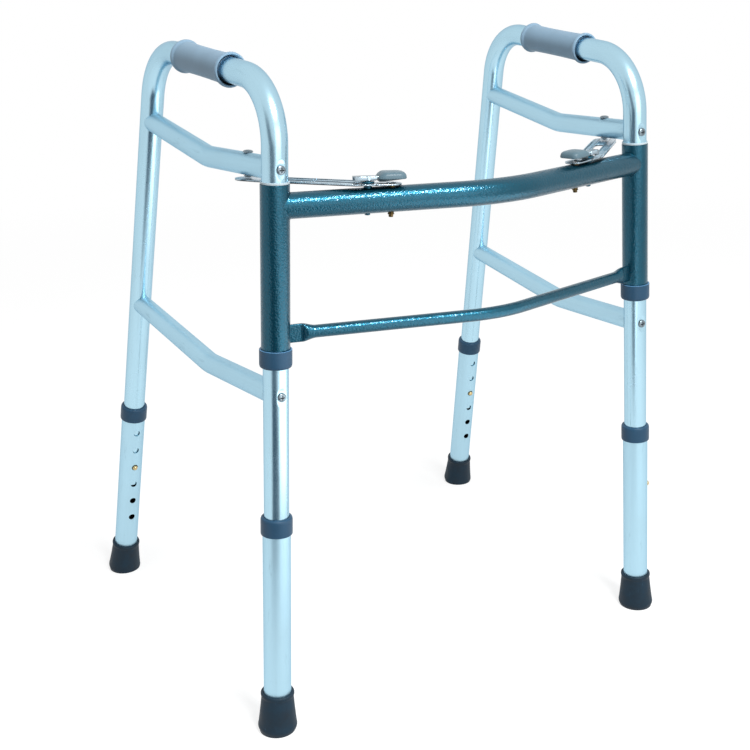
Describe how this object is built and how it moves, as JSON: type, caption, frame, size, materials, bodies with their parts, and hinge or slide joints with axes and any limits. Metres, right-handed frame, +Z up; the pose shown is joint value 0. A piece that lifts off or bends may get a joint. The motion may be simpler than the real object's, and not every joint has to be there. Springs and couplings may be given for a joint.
{
  "type": "folding walker",
  "caption": "Folding walking frame: two tubular side frames with hand grips, bowed front bars, paddle latches, telescoping legs and rubber feet.",
  "frame": {"origin": "on the floor, at the middle of the walker's overall footprint", "axes": "+Z up, -Y to the front (the crossbars), +X to the image's right, which is the user's left when they stand behind the crossbars facing -Y"},
  "size_m": [0.5768, 0.5219, 0.6992],
  "materials": {
    "aluminium": "satin anodised",
    "paint": "dark teal-blue hammertone",
    "vinyl": "soft matt vinyl",
    "collar": "moulded satin",
    "rubber": "matt",
    "zinc": "bright zinc plate",
    "gold_zinc": "yellow zinc plate",
    "brass": "polished",
    "spring_steel": "dark spring steel",
    "paddle_plastic": "moulded satin",
    "washer_nylon": "natural nylon"
  },
  "bodies": {
    "front_frame": {"top_crossbar": "paint", "lower_crossbar": "paint", "left_sleeve": "paint", "left_sleeve_washer": "washer_nylon", "left_guide_pin": "paint", "left_lever_pivot": "zinc", "left_plunger_spring": "spring_steel", "right_sleeve": "paint", "right_sleeve_washer": "washer_nylon", "right_guide_pin": "paint", "right_lever_pivot": "zinc", "right_plunger_spring": "spring_steel"},
    "left_side_frame": {"left_side_tube": "aluminium", "left_upper_brace": "aluminium", "left_lower_brace": "aluminium", "left_grip": "vinyl", "left_upper_screw": "zinc", "left_lower_screw": "zinc", "left_brace_bolt": "zinc", "left_sleeve_bushing": "collar", "left_front_button_spring": "spring_steel", "left_rear_button_spring": "spring_steel"},
    "left_latch_link": {"left_link": "zinc"},
    "left_latch_lever": {"left_lever": "zinc", "left_paddle": "paddle_plastic", "left_press_stud": "gold_zinc"},
    "left_lock_plunger": {"left_plunger": "gold_zinc"},
    "left_front_leg_assembly": {"left_front_leg": "aluminium", "left_front_leg_collar": "collar", "left_front_tip": "rubber"},
    "left_front_snap_button": {"left_front_button": "brass"},
    "left_rear_leg_assembly": {"left_rear_leg": "aluminium", "left_rear_leg_collar": "collar", "left_rear_tip": "rubber"},
    "left_rear_snap_button": {"left_rear_button": "brass"},
    "right_side_frame": {"right_side_tube": "aluminium", "right_upper_brace": "aluminium", "right_lower_brace": "aluminium", "right_grip": "vinyl", "right_upper_screw": "zinc", "right_lower_screw": "zinc", "right_brace_bolt": "zinc", "right_sleeve_bushing": "collar", "right_front_button_spring": "spring_steel", "right_rear_button_spring": "spring_steel"},
    "right_latch_link": {"right_link": "zinc"},
    "right_latch_lever": {"right_lever": "zinc", "right_paddle": "paddle_plastic", "right_press_stud": "gold_zinc"},
    "right_lock_plunger": {"right_plunger": "gold_zinc"},
    "right_front_leg_assembly": {"right_front_leg": "aluminium", "right_front_leg_collar": "collar", "right_front_tip": "rubber"},
    "right_front_snap_button": {"right_front_button": "brass"},
    "right_rear_leg_assembly": {"right_rear_leg": "aluminium", "right_rear_leg_collar": "collar", "right_rear_tip": "rubber"},
    "right_rear_snap_button": {"right_rear_button": "brass"}
  },
  "joints": [
    {"name": "left_fold", "type": "hinge", "parent": "front_frame", "child": "left_side_frame", "pos_m": [-0.22399, -0.1936, 0.47954], "axis": [-0.0436, -0.0023, -0.999], "range_deg": [0, 93]},
    {"name": "left_link_slide", "type": "slide", "parent": "front_frame", "child": "left_latch_link", "axis": [0.7497, -0.661, -0.0312], "range_m": [0, 0.0793]},
    {"name": "left_lever_press", "type": "hinge", "parent": "front_frame", "child": "left_latch_lever", "pos_m": [-0.13352, -0.21733, 0.57234], "axis": [0.2669, 0.9636, -0.0138], "range_deg": [0, 6]},
    {"name": "left_plunger_slide", "type": "slide", "parent": "front_frame", "child": "left_lock_plunger", "axis": [-0.0436, -0.0023, -0.999], "range_m": [0, 0.00245], "stiffness_N_per_m": 400, "springref_m": -0.006, "deforming": ["left_plunger_spring"]},
    {"name": "left_front_leg_slide", "type": "slide", "parent": "left_side_frame", "child": "left_front_leg_assembly", "axis": [-0.0436, -0.0023, -0.999], "range_m": [-0.0762, 0.0508], "deforming": ["left_front_button", "left_front_button_spring"]},
    {"name": "left_front_button_press", "type": "slide", "parent": "left_side_frame", "child": "left_front_snap_button", "axis": [0.0523, -0.9986, 0], "range_m": [0, 0.0055], "stiffness_N_per_m": 1500, "springref_m": -0.001, "deforming": ["left_front_button_spring"]},
    {"name": "left_rear_leg_slide", "type": "slide", "parent": "left_side_frame", "child": "left_rear_leg_assembly", "axis": [-0.0542, 0.2216, -0.9736], "range_m": [-0.0762, 0.0508], "deforming": ["left_rear_button", "left_rear_button_spring"]},
    {"name": "left_rear_button_press", "type": "slide", "parent": "left_side_frame", "child": "left_rear_snap_button", "axis": [-0.0412, 0.9737, 0.2239], "range_m": [0, 0.0055], "stiffness_N_per_m": 1500, "springref_m": -0.001, "deforming": ["left_rear_button_spring"]},
    {"name": "right_fold", "type": "hinge", "parent": "front_frame", "child": "right_side_frame", "pos_m": [0.22399, -0.1936, 0.47954], "axis": [-0.0436, 0.0023, 0.999], "range_deg": [0, 79]},
    {"name": "right_link_slide", "type": "slide", "parent": "front_frame", "child": "right_latch_link", "axis": [-0.7497, -0.661, -0.0312], "range_m": [0, 0.0793]},
    {"name": "right_lever_press", "type": "hinge", "parent": "front_frame", "child": "right_latch_lever", "pos_m": [0.13352, -0.21733, 0.57234], "axis": [0.2669, -0.9636, 0.0138], "range_deg": [0, 6]},
    {"name": "right_plunger_slide", "type": "slide", "parent": "front_frame", "child": "right_lock_plunger", "axis": [0.0436, -0.0023, -0.999], "range_m": [0, 0.00245], "stiffness_N_per_m": 400, "springref_m": -0.006, "deforming": ["right_plunger_spring"]},
    {"name": "right_front_leg_slide", "type": "slide", "parent": "right_side_frame", "child": "right_front_leg_assembly", "axis": [0.0436, -0.0023, -0.999], "range_m": [-0.0762, 0.0508], "deforming": ["right_front_button", "right_front_button_spring"]},
    {"name": "right_front_button_press", "type": "slide", "parent": "right_side_frame", "child": "right_front_snap_button", "axis": [-0.9554, 0.2923, -0.0423], "range_m": [0, 0.0055], "stiffness_N_per_m": 1500, "springref_m": -0.001, "deforming": ["right_front_button_spring"]},
    {"name": "right_rear_leg_slide", "type": "slide", "parent": "right_side_frame", "child": "right_rear_leg_assembly", "axis": [0.0542, 0.2216, -0.9736], "range_m": [-0.0762, 0.0508], "deforming": ["right_rear_button", "right_rear_button_spring"]},
    {"name": "right_rear_button_press", "type": "slide", "parent": "right_side_frame", "child": "right_rear_snap_button", "axis": [0.0412, 0.9737, 0.2239], "range_m": [0, 0.0055], "stiffness_N_per_m": 1500, "springref_m": -0.001, "deforming": ["right_rear_button_spring"]}
  ],
  "couplings": [
    {"joint": "left_link_slide", "follows": "left_fold", "m_per_rad": 0.0488},
    {"joint": "left_lever_press", "follows": "left_plunger_slide", "rad_per_m": 42.735},
    {"joint": "right_link_slide", "follows": "right_fold", "m_per_rad": 0.0488},
    {"joint": "right_lever_press", "follows": "right_plunger_slide", "rad_per_m": 42.735}
  ]
}
